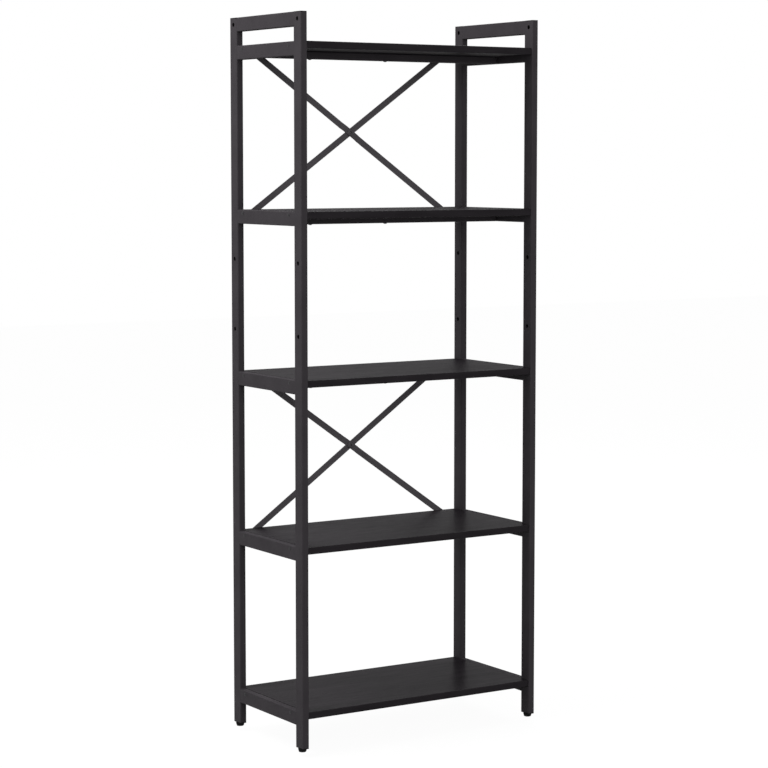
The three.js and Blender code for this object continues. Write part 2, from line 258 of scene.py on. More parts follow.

# %% [markdown]
# ### Coat of the bars, with painted light
# The crossed bars and their rivets show a lighter, smoother coat than the tubes. The lighter tone
# is painted light: the bars stand in the shade behind the boards, and their black is raised to a
# dark grey to stand in for the light that they lack there.

# %% Mix the coat of the bars
bar_coat_with_painted_light = new_finish("black_bar_coat_with_painted_light", specular=0.12)
bar_peel = relief(bar_coat_with_painted_light, noise(bar_coat_with_painted_light, scale=900, detail=3), height=0.08 * mm, strength=0.3)
bar_cloud = noise(bar_coat_with_painted_light, scale=30, detail=4)
# Painted light: a dark grey in place of the tubes' black, to lift the bars out of the shade behind
# the boards.
bar_tone_with_painted_light = tones(bar_coat_with_painted_light, bar_cloud, dark=(0.076, 0.0695, 0.076), light=(0.09, 0.0825, 0.09))
bar_gloss = between(bar_coat_with_painted_light, noise(bar_coat_with_painted_light, scale=120, detail=3), low=0.42, high=0.54)
wear(bar_coat_with_painted_light, bar_tone_with_painted_light, bar_gloss, bar_peel)
print("finish:", bar_coat_with_painted_light.name)

# %% [markdown]
# ### Black laminate
# The boards are faced with a printed black paper that is pressed to look like open-pored wood. The
# grain runs along the board, so the noises are drawn out along X: a broad one for the figure, and
# a fine one for the pores, which are also pressed in and duller than the rest. It barely mirrors
# from above, and looked along it still gives only a soft image, as the grain does.

# %% Print the laminate
laminate = new_finish("black_wood_laminate", specular=0.0043)
laminate.node_tree.nodes["Principled BSDF"].inputs["Specular Tint"].default_value = (1, 0.94, 1, 1)
figure = noise(laminate, scale=26, stretch=(0.12, 1.6, 1.6), detail=6, roughness=0.62)
pores = noise(laminate, scale=420, stretch=(0.05, 1.5, 1.5), detail=3)
paper_dark = (0.0122, 0.0103, 0.0122)
paper_light = (0.0192, 0.0163, 0.0192)
laminate_tone = tones(laminate, figure, paper_dark, paper_light, start=0.32, end=0.66)
laminate_gloss = between(laminate, pores, low=0.24, high=0.34, start=0.35, end=0.65)
laminate_gloss = duller_at_a_glance(laminate, laminate_gloss, extra=0.24, start=0.74, end=0.98)
pressed = relief(laminate, pores, height=0.05 * mm, strength=0.35)
pressed = relief(laminate, figure, height=0.15 * mm, strength=0.15, under=pressed)
wear(laminate, laminate_tone, laminate_gloss, pressed)
print("finish:", laminate.name)

# %% [markdown]
# ### Edge band
# The long edges of a board carry a thin plastic band, scraped round with the faces. It has no
# grain, only the faint waves that the scraper leaves along it.

# %% Colour the edge band
edge_band = new_finish("black_edge_band", specular=0.03)
scraper_noise = noise(edge_band, scale=160, stretch=(0.6, 2, 2), detail=2)
scraped = relief(edge_band, scraper_noise, height=0.05 * mm, strength=0.25)
band_noise = noise(edge_band, scale=60, stretch=(0.2, 1, 1), detail=3)
band_tone = tones(edge_band, band_noise, dark=(0.014, 0.0122, 0.014), light=(0.02, 0.0175, 0.02))
band_gloss = between(edge_band, noise(edge_band, scale=240, detail=2), low=0.34, high=0.46)
wear(edge_band, band_tone, band_gloss, scraped)
print("finish:", edge_band.name)

# %% [markdown]
# ### Moulded plastic, blackened steel and zinc
# The plugs and pads are black plastic with the even fine texture of a spark-eroded mould. Screws
# and rivets are steel with a thin black oxide, so they are part metal, and the threaded studs have
# bright zinc with a slight haze.

# %% Mix the three finishes of the small parts
moulded = new_finish("black_moulded_plastic", specular=0.05)
mould_grain = relief(moulded, noise(moulded, scale=2600), height=0.04 * mm, strength=0.5)
mould_cloud = noise(moulded, scale=90, detail=3)
mould_tone = tones(moulded, mould_cloud, dark=(0.006, 0.0056, 0.006), light=(0.0095, 0.0088, 0.0095))
mould_gloss = between(moulded, noise(moulded, scale=300), low=0.5, high=0.64)
wear(moulded, mould_tone, mould_gloss, mould_grain)

black_oxide = new_finish("blackened_steel", specular=0.12, metallic=0.15)
oxide_noise = noise(black_oxide, scale=1500, detail=3)
oxide_grain = relief(black_oxide, oxide_noise, height=0.03 * mm, strength=0.3)
oxide_cloud = noise(black_oxide, scale=240, detail=4)
oxide_tone = tones(black_oxide, oxide_cloud, dark=(0.02, 0.0195, 0.021), light=(0.038, 0.037, 0.039))
oxide_gloss = between(black_oxide, noise(black_oxide, scale=500), low=0.36, high=0.5)
wear(black_oxide, oxide_tone, oxide_gloss, oxide_grain)

zinc = new_finish("zinc_plated_steel", specular=0.5, metallic=1)
zinc_grain = relief(zinc, noise(zinc, scale=1800, detail=3), height=0.02 * mm, strength=0.3)
zinc_cloud = noise(zinc, scale=320, detail=4)
zinc_tone = tones(zinc, zinc_cloud, dark=(0.52, 0.53, 0.56), light=(0.66, 0.66, 0.67))
zinc_gloss = between(zinc, noise(zinc, scale=600), low=0.26, high=0.42)
wear(zinc, zinc_tone, zinc_gloss, zinc_grain)
print("finishes:", moulded.name, black_oxide.name, zinc.name)

# %% [markdown]
# ## Helpers for modelling
# Each piece starts as a primitive at its real size. Its faces and edges are then found by their
# place or direction, worked on in edit mode, and finished with modifiers that are applied.

# %% Open a piece and pick parts of it
def choose(piece):
    """Selects this piece alone."""
    bpy.ops.object.select_all(action="DESELECT")
    piece.select_set(True)
    bpy.context.view_layer.objects.active = piece


def open_piece(piece):
    """Selects this piece alone and opens its mesh for editing."""
    choose(piece)
    bpy.ops.object.mode_set(mode="EDIT")


def close_piece():
    bpy.ops.object.mode_set(mode="OBJECT")


def pick(piece, kind, test):
    """Selects the vertices, edges or faces that pass the test."""
    bpy.ops.mesh.select_mode(type=kind)
    bpy.ops.mesh.select_all(action="DESELECT")
    mesh = bmesh.from_edit_mesh(piece.data)
    parts = {"VERT": mesh.verts, "EDGE": mesh.edges, "FACE": mesh.faces}[kind]
    for part in parts:
        if test(part):
            part.select_set(True)
    mesh.select_flush_mode()
    bmesh.update_edit_mesh(piece.data)


def faces_towards(axis, sign=0):
    """Test for faces that look along an axis, either way or one way."""
    if sign:
        return lambda face: face.normal[axis] * sign > 0.9
    return lambda face: abs(face.normal[axis]) > 0.9


def edges_along(axis):
    """Test for edges that run along an axis."""
    return lambda edge: abs((edge.verts[1].co - edge.verts[0].co).normalized()[axis]) > 0.99


print("picking helpers are ready")

# %% [markdown]
# A block is the start of every straight piece: a cube that is scaled to its real size at once, so
# that all later lengths are true. Modifiers are applied as soon as they are set. Bevels then get
# normals that are weighted by area, so that flat faces look flat beside their rounded edges.

# %% Start a block, and finish a piece with modifiers
def shade_round(piece, angle=40):
    """Shades as round what turns by less than the angle, and leaves sharper edges sharp."""
    choose(piece)
    bpy.ops.object.shade_smooth_by_angle(angle=math.radians(angle))


def start_block(name, low, high):
    """A block between two corners, open for editing."""
    bpy.ops.mesh.primitive_cube_add(size=1, location=(Vector(low) + Vector(high)) / 2)
    piece = bpy.context.object
    piece.name = name
    piece.scale = Vector(high) - Vector(low)
    bpy.ops.object.transform_apply()
    open_piece(piece)
    return piece


def modify(piece, kind, **settings):
    """Adds a modifier with these settings and applies it."""
    bpy.context.view_layer.objects.active = piece
    modifier = piece.modifiers.new(kind.lower(), kind)
    for setting, value in settings.items():
        setattr(modifier, setting, value)
    bpy.ops.object.modifier_apply(modifier=modifier.name)


def soften(piece, width, segments=2, angle=50):
    """Rounds the sharp edges, and shades round forms smooth and flat ones flat."""
    sharp = math.radians(angle)
    modify(piece, "BEVEL", width=width, segments=segments, limit_method="ANGLE", angle_limit=sharp)
    shade_round(piece, 60)
    modify(piece, "WEIGHTED_NORMAL", keep_sharp=True)


print("block and modifier helpers are ready")

# %% [markdown]
# A piece joins the case in one call: it takes its finish, rides on the body that carries it, and
# stands for the solid that it covers. Pieces that repeat are copied, each with its own mesh, and
# the place of every copy goes into its mesh.

# %% Add a piece to the case, and copy one
def add_piece(piece, finish, body="frame", solid=None):
    """Gives a piece its finish and joins it to the case."""
    if not piece.data.materials:
        piece.data.materials.append(finish)
    piece.data.name = piece.name
    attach(piece, body)
    if solid:
        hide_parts(solid)
    return piece


def copy_piece(pattern, name, place=(0, 0, 0), turn=(0, 0, 0)):
    """A copy with a mesh of its own, turned and then moved."""
    choose(pattern)
    bpy.ops.object.duplicate(linked=False)
    piece = bpy.context.object
    piece.name = name
    piece.rotation_euler = turn
    piece.location = place
    bpy.ops.object.transform_apply()
    return piece


def repeat_piece(pattern, start, name, finish, solid):
    """Copies a pattern from the corner it was made at to the same corner of another solid."""
    piece = copy_piece(pattern, name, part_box(solid)[0] - start)
    return add_piece(piece, finish, solid=solid)


def discard(pattern):
    """Takes away a pattern that was only there to be copied."""
    bpy.data.objects.remove(pattern)


def middle_of(solid):
    """Middle of a solid's box."""
    low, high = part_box(solid)
    return (low + high) / 2


def underside_of(solid):
    """Middle of the underside of a solid's box."""
    middle = middle_of(solid)
    return Vector((middle.x, middle.y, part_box(solid)[0].z))


print("copying helpers are ready")

# %% [markdown]
# ## Steel tube
# Posts, rails and stretchers are one section of tube, 30 by 15 mm, with rounded corners and a thin
# wall. A tube could be an outline swept along a path. Here it is a block that loses its two end
# faces, gets its long edges rounded, and is then given its wall inwards, which keeps the outside
# exactly where the solid has it.

# %% Make a tube
tube_radius = 2 * mm
tube_wall = 1.2 * mm
corner_steps = 6
broken_edge = 0.25 * mm


def tube(name, low, high):
    """Hollow tube with open ends, along the longest side of its box."""
    size = Vector(high) - Vector(low)
    along = max(range(3), key=lambda axis: size[axis])
    piece = start_block(name, low, high)
    pick(piece, "FACE", faces_towards(along))
    bpy.ops.mesh.delete(type="ONLY_FACE")
    pick(piece, "EDGE", edges_along(along))
    bpy.ops.mesh.bevel(offset=tube_radius, segments=corner_steps, affect="EDGES")
    close_piece()
    modify(piece, "SOLIDIFY", thickness=tube_wall, offset=-1, use_even_offset=True)
    return piece


print("tube section:", tube_radius / mm, "mm corners,", tube_wall / mm, "mm wall")

# %% [markdown]
# Holes are drilled: a round cutter for each hole goes through the piece, and all of them are taken
# away from it in one cut. One cut after the other would cross the seams that the first one leaves
# in the wall, and slivers would come of it. Points that a cut leaves in one place are merged.

# %% Drill holes
axis_turns = {"X": (0, math.pi / 2, 0), "Y": (math.pi / 2, 0, 0), "Z": (0, 0, 0)}
drill_length = 40 * mm
hole_steps = 48
same_place = 0.001 * mm


def cut_away(piece, cutter):
    """Takes one solid away from another, and merges what the cut leaves in one place."""
    modify(piece, "BOOLEAN", operation="DIFFERENCE", solver="EXACT", object=cutter)
    bpy.data.objects.remove(cutter)
    open_piece(piece)
    bpy.ops.mesh.select_all(action="SELECT")
    bpy.ops.mesh.remove_doubles(threshold=same_place)
    close_piece()


def drill(piece, axis, diameter, places):
    """Round holes along an axis, right through the piece, each about its middle."""
    cutters = []
    for place in places:
        bpy.ops.mesh.primitive_cylinder_add(
            vertices=hole_steps, radius=diameter / 2, depth=drill_length,
            location=place, rotation=axis_turns[axis]
        )
        cutters.append(bpy.context.object)
    bpy.ops.object.select_all(action="DESELECT")
    for cutter in cutters:
        cutter.select_set(True)
    bpy.ops.object.join()
    cut_away(piece, bpy.context.object)


print("drill is ready")

# %% [markdown]
# ## Posts
# Four posts stand at the corners. Each has three holes through its two wide walls, where a second
# case could be joined to the first: one in line with the handle rail, and two in the bay below the
# second board from the top. The post is made once and copied to the other corners.

# %% Make the posts
corners = ["front_left", "front_right", "rear_left", "rear_right"]
post_low, post_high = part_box("post_front_left")
post_middle = middle_of("post_front_left")
link_hole = 9 * mm
link_spacing = 152 * mm
handle_z = middle_of("handle_rail_left").z
bay_z = (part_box("shelf_board_middle")[1].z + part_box("shelf_board_upper")[0].z) / 2
link_heights = [bay_z - link_spacing / 2, bay_z + link_spacing / 2, handle_z]

post_pattern = tube("post_pattern", post_low, post_high)
link_places = [(post_middle.x, post_middle.y, height) for height in link_heights]
drill(post_pattern, "X", link_hole, link_places)
soften(post_pattern, broken_edge)
for corner in corners:
    name = f"post_tube_{corner}"
    post = repeat_piece(post_pattern, post_low, name, powder_coat, f"post_{corner}")
discard(post_pattern)
print("posts:", len(corners), "of", len(post.data.polygons), "faces")

# %% [markdown]
# ## Rails
# Each frame has six rails between its posts. Five carry the ends of the boards and have two screw
# holes, and the uppermost one is the handle rail over an open slot for a hand. Two patterns serve
# all twelve.

# %% Make the rails
levels = ["bottom", "lower", "middle", "upper", "top"]
sides = {"left": -1, "right": 1}
screw_hole = 4.6 * mm
end_screw_inset = 22 * mm

rail_low, rail_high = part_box("side_rail_left_bottom")
board_low, board_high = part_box("shelf_board_bottom")
board_half = (board_high.z - board_low.z) / 2
end_screw_y = rail_high.y - end_screw_inset
rail_middle = middle_of("side_rail_left_bottom")
plain_pattern = tube("plain_pattern", rail_low, rail_high)
rail_pattern = copy_piece(plain_pattern, "rail_pattern")
screw_z = rail_high.z - board_half
end_places = [(rail_middle.x, y, screw_z) for y in (-end_screw_y, end_screw_y)]
drill(rail_pattern, "X", screw_hole, end_places)
soften(plain_pattern, broken_edge)
soften(rail_pattern, broken_edge)
for side in sides:
    for level in levels:
        name = f"side_rail_tube_{side}_{level}"
        solid = f"side_rail_{side}_{level}"
        repeat_piece(rail_pattern, rail_low, name, powder_coat, solid)
    name = f"handle_rail_tube_{side}"
    solid = f"handle_rail_{side}"
    repeat_piece(plain_pattern, rail_low, name, powder_coat, solid)
discard(plain_pattern)
discard(rail_pattern)
print("rails:", 2 * (len(levels) + 1))

# %% [markdown]
# ## Stretchers
# A flat-lying tube runs under the middle of each board and is screwed to it from below, so that
# the board can't sag. Its ends stop just short of the frames.

# %% Make the stretchers
under_screw_spacing = 190 * mm
under_screw_x = [-under_screw_spacing, 0, under_screw_spacing]
stretcher_low, stretcher_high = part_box("stretcher_bottom")
stretcher_pattern = tube("stretcher_pattern", stretcher_low, stretcher_high)
under_places = [(x, 0, middle_of("stretcher_bottom").z) for x in under_screw_x]
drill(stretcher_pattern, "Z", screw_hole, under_places)
soften(stretcher_pattern, broken_edge)
for level in levels:
    name = f"stretcher_tube_{level}"
    solid = f"stretcher_{level}"
    repeat_piece(stretcher_pattern, stretcher_low, name, powder_coat, solid)
discard(stretcher_pattern)
print("stretchers:", len(levels))

# %% [markdown]
# ## Boards
# A board is a pressed wood core with black laminate above and below and a plastic band on its long
# edges, all 15 mm thick. The long edges are rounded, and a hairline groove shows where the band
# meets the laminate: the top and bottom faces are inset twice, once down and once up again. The
# two faces inside the groove are then the only ones of more than 0.01 square metres, and they
# alone take the laminate.

# %% Make the boards
board_arris = 2 * mm
groove_width = 0.12 * mm
groove_depth = 0.06 * mm
broad_face = 0.01

board_pattern = start_block("board_pattern", board_low, board_high)
pick(board_pattern, "EDGE", edges_along(0))
bpy.ops.mesh.bevel(offset=board_arris, segments=corner_steps, affect="EDGES")
pick(board_pattern, "FACE", faces_towards(2))
bpy.ops.mesh.inset(thickness=groove_width, depth=-groove_depth)
bpy.ops.mesh.inset(thickness=groove_width, depth=groove_depth)
close_piece()
board_pattern.data.materials.append(laminate)
board_pattern.data.materials.append(edge_band)
for face in board_pattern.data.polygons:
    is_laminate = abs(face.normal.z) > 0.99 and face.area > broad_face
    face.material_index = 0 if is_laminate else 1
shade_round(board_pattern)
modify(board_pattern, "WEIGHTED_NORMAL", keep_sharp=True)
for level in levels:
    solid = f"shelf_board_{level}"
    repeat_piece(board_pattern, board_low, f"board_{level}", laminate, solid)
discard(board_pattern)
print("boards:", len(levels))

# %% [markdown]
# ## Brace bars
# Two flat bars cross behind a bay, from the end of one board to the far end of the next. Each is a
# strip with round ends and three holes. It is modelled lying along X with its middle at the
# origin's height, and its round ends come from a bevel as wide as half the strip. From bar to bar,
# and from a bar to the head of a rivet or screw, a gap of 0.2 mm keeps the faces apart.

# %% Make the straight bar
brace_width = 14 * mm
brace_hole = 4.4 * mm
rivet_hole = 5.6 * mm
brace_gap = 0.2 * mm
bar_edge = 0.2 * mm
round_end_steps = 10
bar_low, bar_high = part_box("brace_upper_straight")
brace_back = bar_high.y
brace_thickness = bar_high.y - bar_low.y
brace_reach = middle_of("brace_screw_upper_top_right").x
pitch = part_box("shelf_board_lower")[1].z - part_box("shelf_board_bottom")[1].z
brace_length = math.hypot(2 * brace_reach, pitch)
brace_tilt = math.atan2(pitch, 2 * brace_reach)


def flat_bar(name):
    """Strip along X with round ends, open for editing."""
    reach = (brace_length + brace_width) / 2
    low = (-reach, brace_back - brace_thickness, -brace_width / 2)
    high = (reach, brace_back, brace_width / 2)
    piece = start_block(name, low, high)
    pick(piece, "EDGE", edges_along(1))
    bpy.ops.mesh.bevel(offset=brace_width / 2, segments=round_end_steps, affect="EDGES")
    bpy.ops.mesh.select_all(action="SELECT")
    bpy.ops.mesh.remove_doubles(threshold=10 * same_place)
    return piece


def pierce_bar(piece):
    """Drills the end holes and the rivet's hole, and takes the burr off every edge."""
    front_y = brace_back - brace_thickness
    ends = [(side * brace_length / 2, front_y, 0) for side in (-1, 1)]
    drill(piece, "Y", brace_hole, ends)
    drill(piece, "Y", rivet_hole, [(0, front_y, 0)])
    soften(piece, bar_edge)


straight_pattern = flat_bar("straight_pattern")
close_piece()
pierce_bar(straight_pattern)
print("bar length:", round(brace_length / mm, 1), "tilt:", round(math.degrees(brace_tilt), 2))

# %% [markdown]
# One bar of each pair is joggled: near the middle it steps forward by its own thickness, runs flat
# across its partner and steps back. The strip is cut across at a few places on each ramp, and the
# vertices of each cut are moved forward along a smooth curve.

# %% Make the joggled bar
joggle_drop = brace_thickness + brace_gap
joggle_flat = 16 * mm
joggle_ramp = 12 * mm
joggle_foot = joggle_flat + joggle_ramp
ramp_cuts = 8


def joggle_at(x):
    """How far forward the bar runs at this distance from its middle."""
    on_ramp = (joggle_foot - abs(x)) / joggle_ramp
    share_up = min(max(on_ramp, 0), 1)
    return joggle_drop * share_up * share_up * (3 - 2 * share_up)


joggled_pattern = flat_bar("joggled_pattern")
ramp_step = joggle_ramp / ramp_cuts
half_cuts = [joggle_flat + cut * ramp_step for cut in range(ramp_cuts + 1)]
cut_places = [side * x for side in (-1, 1) for x in half_cuts]
for x in cut_places:
    bpy.ops.mesh.select_all(action="SELECT")
    bpy.ops.mesh.bisect(plane_co=(x, 0, 0), plane_no=(1, 0, 0))
for x in cut_places:
    pick(joggled_pattern, "VERT", lambda vertex: abs(vertex.co.x - x) < 10 * same_place)
    bpy.ops.transform.translate(value=(0, -joggle_at(x), 0))
close_piece()
pierce_bar(joggled_pattern)
joggle_now = min(vertex.co.y for vertex in joggled_pattern.data.vertices)
print("joggled bar's front:", round(joggle_now / mm, 2), "mm")

# %% [markdown]
# A copy of each bar is tilted to its own side and lifted to the crossing, which is where the
# rivet's solid has its middle. The joggled bar passes in front of the straight one there.

# %% Cross the bars
braces = ["upper", "lower"]
for brace in braces:
    crossing = (0, 0, middle_of(f"brace_rivet_{brace}").z)
    straight = f"brace_{brace}_straight"
    joggled = f"brace_{brace}_joggled"
    bar = copy_piece(straight_pattern, f"bar_{brace}_straight", crossing, (0, -brace_tilt, 0))
    add_piece(bar, bar_coat_with_painted_light, solid=straight)
    bar = copy_piece(joggled_pattern, f"bar_{brace}_joggled", crossing, (0, brace_tilt, 0))
    add_piece(bar, bar_coat_with_painted_light, solid=joggled)
discard(straight_pattern)
discard(joggled_pattern)
print("bars:", 2 * len(braces))

# %% [markdown]
# ## Turned parts
# Rivets, screws, pads and studs are round about an axis. Their outline is drawn from the axis
# upwards, as a chain of points extruded one from the other, and a full spin makes the surface.

# %% Turn a piece from its outline
def outline_wire(name, outline):
    """Open chain of points, given in millimetres as radius and height, open for editing."""
    bpy.ops.mesh.primitive_plane_add(size=mm)
    piece = bpy.context.object
    piece.name = name
    open_piece(piece)
    bpy.ops.mesh.select_mode(type="VERT")
    bpy.ops.mesh.select_all(action="SELECT")
    bpy.ops.mesh.merge(type="CENTER")
    bpy.ops.transform.translate(value=(outline[0][0] * mm, 0, outline[0][1] * mm))
    for (radius, height), (next_radius, next_height) in zip(outline, outline[1:]):
        step = ((next_radius - radius) * mm, 0, (next_height - height) * mm)
        bpy.ops.mesh.extrude_region_move(TRANSFORM_OT_translate={"value": step})
    bpy.ops.mesh.select_all(action="SELECT")
    return piece


def turned(name, outline, steps=48):
    """Closed turned piece about Z."""
    piece = outline_wire(name, outline)
    bpy.ops.mesh.spin(steps=steps, angle=2 * math.pi, center=(0, 0, 0), axis=(0, 0, 1))
    bpy.ops.mesh.select_all(action="SELECT")
    bpy.ops.mesh.remove_doubles(threshold=same_place)
    bpy.ops.mesh.normals_make_consistent(inside=False)
    close_piece()
    shade_round(piece)
    return piece


def dome(outer, inner, base, rise, points=8):
    """Outline of a low dome from its rim in to an inner radius, in millimetres."""
    sphere = (outer * outer + rise * rise) / (2 * rise)
    radii = [outer + (inner - outer) * step / points for step in range(points + 1)]
    return [(radius, base + rise - sphere + math.sqrt(sphere**2 - radius**2)) for radius in radii]


def rounded(centre_radius, centre_height, radius, start, end, points=6):
    """Outline of an arc between two angles in degrees, in millimetres."""
    angles = [math.radians(start + (end - start) * step / points) for step in range(points + 1)]
    return [
        (centre_radius + radius * math.cos(angle), centre_height + radius * math.sin(angle))
        for angle in angles
    ]


print("turning helpers are ready")

# %% [markdown]
# ## Rivets
# A rivet with a wide domed head holds the two bars together at each crossing. The head has a deep
# round eye in its middle, left by the tool that set it, and the flat tail lies behind the bars.
# One outline turned round gives all of it as a single closed surface. The rivet is turned upright
# and laid forward into its hole, so a height in the outline is a distance towards the front.

# %% Set the rivets
shank_radius = 2.5
tail_radius = 5
tail_height = 1
tail_chamfer = 0.3
head_radius = 8
head_edge = 0.3
head_rim = 0.6
head_rise = 2.4
eye_mouth_radius = 2.7
eye_lip = 0.2
eye_lip_height = 2.55
eye_wall_radius = 2.3
eye_floor_radius = 2
eye_floor = 0.2
tail_under = -(brace_back + brace_gap) / mm
head_under = -(brace_back - brace_thickness - joggle_drop - brace_gap) / mm
rivet_outline = [
    (0, tail_under - tail_height),
    (tail_radius - tail_chamfer, tail_under - tail_height),
    (tail_radius, tail_under - tail_height + tail_chamfer),
    (tail_radius, tail_under),
    (shank_radius, tail_under),
    (shank_radius, head_under),
    *rounded(head_radius - head_edge, head_under + head_edge, head_edge, -90, 0, 4),
    *dome(head_radius, eye_mouth_radius, head_under + head_rim, head_rise, 12),
    *rounded(eye_mouth_radius, head_under + eye_lip_height, eye_lip, 90, 180, 4),
    (eye_wall_radius, head_under + 2 * eye_floor),
    (eye_floor_radius, head_under + eye_floor),
    (0, head_under + eye_floor),
]
rivet_pattern = turned("rivet_pattern", rivet_outline, 64)
for brace in braces:
    crossing = (0, 0, middle_of(f"brace_rivet_{brace}").z)
    rivet = copy_piece(rivet_pattern, f"rivet_{brace}", crossing, (math.pi / 2, 0, 0))
    # The rivets take the bars' coat, whose dark grey is painted light over the tubes' black.
    add_piece(rivet, bar_coat_with_painted_light, solid=f"brace_rivet_{brace}")
discard(rivet_pattern)
print("rivet heads:", 2 * head_radius, "mm across, eyes:", 2 * eye_mouth_radius, "mm")

# %% [markdown]
# ## Screws
# Three kinds of cross-recess screw hold the case together: pan heads through the ends of the bars,
# pan heads up through the stretchers, and low wide heads through the side rails. Only the heads
# show, so the shanks are plain and pointed. Each kind is turned with its head up, and the recess
# is cut by two tapered blades at right angles, as a driver's tip would fill it.

# %% Cut a cross recess
blade_tip_share = (0.4, 0.8, 1)
blade_above = 1


def cross_recess(piece, top, length, width, depth):
    """Cuts a tapered cross into the top of a screw head. All lengths are in millimetres."""
    for turn in (0, math.pi / 2):
        low = (-length / 2 * mm, -width / 2 * mm, (top - depth) * mm)
        high = (length / 2 * mm, width / 2 * mm, (top + blade_above) * mm)
        blade = start_block("blade", low, high)
        pick(blade, "FACE", faces_towards(2, -1))
        bpy.ops.transform.resize(value=blade_tip_share, center_override=(0, 0, low[2]))
        close_piece()
        blade.rotation_euler.z = turn
        cut_away(piece, blade)
    shade_round(piece)


print("recess narrows to", blade_tip_share[0], "of its length")

# %% Turn the three kinds of screw
screw_point = 4
screw_edge = 0.2
recess_slimness = 4.6
recess_share = 0.75
recess_extra = 0.3
deepest_recess = 1.2


def screw(name, shank, length, head, rim, rise, recess):
    """Screw with its head's underside at the origin, from sizes in millimetres."""
    outline = [
        (0, -length),
        (shank / 2, screw_point - length),
        (shank / 2, 0),
        *rounded(head / 2 - screw_edge, screw_edge, screw_edge, -90, 0, 3),
        *dome(head / 2, 0, rim, rise, 8),
    ]
    piece = turned(name, outline)
    recess_depth = min(deepest_recess, recess_share * (rim + rise) + recess_extra)
    cross_recess(piece, rim + rise, recess, recess / recess_slimness, recess_depth)
    return piece


bar_screw = screw("bar_screw", shank=3.8, length=18, head=8.5, rim=0.7, rise=1.2, recess=4.4)
under_screw = screw("under_screw", shank=4.2, length=22, head=8.6, rim=0.8, rise=1.4, recess=4.6)
rail_screw = screw("rail_screw", shank=4.2, length=40, head=7.6, rim=0.3, rise=0.4, recess=3.8)
print("screw kinds:", bar_screw.name, under_screw.name, rail_screw.name)

# %% [markdown]
# A screw is copied to each of its holes with its head's underside on what it clamps, or a gap off
# it on a bar. The turn that lays it down points its head to the back on a bar, down under a
# stretcher, and outwards on a side rail.

# %% Drive the screws
head_seat = brace_back + brace_gap
driven = []


def drive(kind, name, seat, turn, solid=None):
    """Copies a kind of screw to its seat."""
    piece = copy_piece(kind, name, seat, turn)
    driven.append(add_piece(piece, black_oxide, solid=solid))


for brace in braces:
    for end in ("top", "bottom"):
        for side in sides:
            solid = f"brace_screw_{brace}_{end}_{side}"
            middle = middle_of(solid)
            seat = (middle.x, head_seat, middle.z)
            drive(bar_screw, f"bar_screw_{brace}_{end}_{side}", seat, (-math.pi / 2, 0, 0), solid)
for level in levels:
    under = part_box(f"stretcher_{level}")[0].z
    for number, x in enumerate(under_screw_x, start=1):
        drive(under_screw, f"under_screw_{level}_{number}", (x, 0, under), (math.pi, 0, 0))
    for side, sign in sides.items():
        low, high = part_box(f"side_rail_{side}_{level}")
        face = low.x if sign < 0 else high.x
        for end, y in (("front", -end_screw_y), ("rear", end_screw_y)):
            seat = (face, y, high.z - board_half)
            name = f"rail_screw_{side}_{level}_{end}"
            drive(rail_screw, name, seat, (0, sign * math.pi / 2, 0))
for pattern in (bar_screw, under_screw, rail_screw):
    discard(pattern)
print("screws:", len(driven))

# %% [markdown]
# ## Plugs in the tube ends
# Plastic plugs close the posts. The lip has the tube's own outline, and the body inside has fins
# that grip the wall. The lower plugs are bored for the threaded stud, and the upper ones are
# hollow caps. Lip and body are two blocks made into one. The body's upper face is raised in steps,
# and the thin steps are then spread outwards as fins.

# %% Make a plug
plug_lip = 1.5 * mm
body_setback = 2.2 * mm
fin_pitch = 8 * mm
fin_thickness = 1 * mm
fin_reach = 0.7 * mm
within_fin = 0.2 * mm


def raise_face(height):
    bpy.ops.mesh.extrude_region_move(TRANSFORM_OT_translate={"value": (0, 0, height)})


def plug(name, body_depth):
    """Plug with its lip's face at the origin and its body up."""
    half_x = (post_high.x - post_low.x) / 2
    half_y = (post_high.y - post_low.y) / 2
    piece = start_block(name, (-half_x, -half_y, 0), (half_x, half_y, plug_lip))
    pick(piece, "EDGE", edges_along(2))
    bpy.ops.mesh.bevel(offset=tube_radius, segments=corner_steps, affect="EDGES")
    close_piece()

    inner_x = half_x - body_setback
    inner_y = half_y - body_setback
    first = plug_lip + fin_pitch - 2 * fin_thickness
    body = start_block("body", (-inner_x, -inner_y, plug_lip / 2), (inner_x, inner_y, first))
    pick(body, "FACE", faces_towards(2, 1))
    fins = round(body_depth / fin_pitch)
    for fin in range(fins):
        raise_face(fin_thickness)
        raise_face(fin_thickness if fin == fins - 1 else fin_pitch - fin_thickness)
    for fin in range(fins):
        middle = first + fin * fin_pitch + fin_thickness / 2
        pick(body, "FACE", lambda face: abs(face.calc_center_median().z - middle) < within_fin)
        bpy.ops.mesh.extrude_region_shrink_fatten(TRANSFORM_OT_shrink_fatten={"value": fin_reach})
    close_piece()
    modify(piece, "BOOLEAN", operation="UNION", solver="EXACT", object=body)
    bpy.data.objects.remove(body)
    return piece


print("plug: lip", plug_lip / mm, "mm, a fin every", fin_pitch / mm, "mm")

# %% Hollow the cap and bore the insert
cap_depth = 8 * mm
cap_wall = 1.5 * mm
cap_end = plug_lip + cap_depth
insert_depth = 24 * mm
insert_bore = 6.6 * mm
plug_edge = 0.35 * mm

cap_pattern = plug("cap_pattern", cap_depth)
open_piece(cap_pattern)
pick(cap_pattern, "FACE", lambda face: face.calc_center_median().z > cap_end - 10 * same_place)
bpy.ops.mesh.inset(thickness=cap_wall)
raise_face(-cap_depth)
close_piece()
insert_pattern = plug("insert_pattern", insert_depth)
drill(insert_pattern, "Z", insert_bore, [(0, 0, insert_depth / 2)])
for pattern in (cap_pattern, insert_pattern):
    soften(pattern, plug_edge, segments=3, angle=60)
    print(pattern.name, [round(value / mm, 2) for value in pattern.dimensions])

# %% [markdown]
# A cap goes in from above, upside down, and an insert from below. Each has its lip's face where
# the solid has it, flush with the rail above and 1.5 mm below the end of the tube.

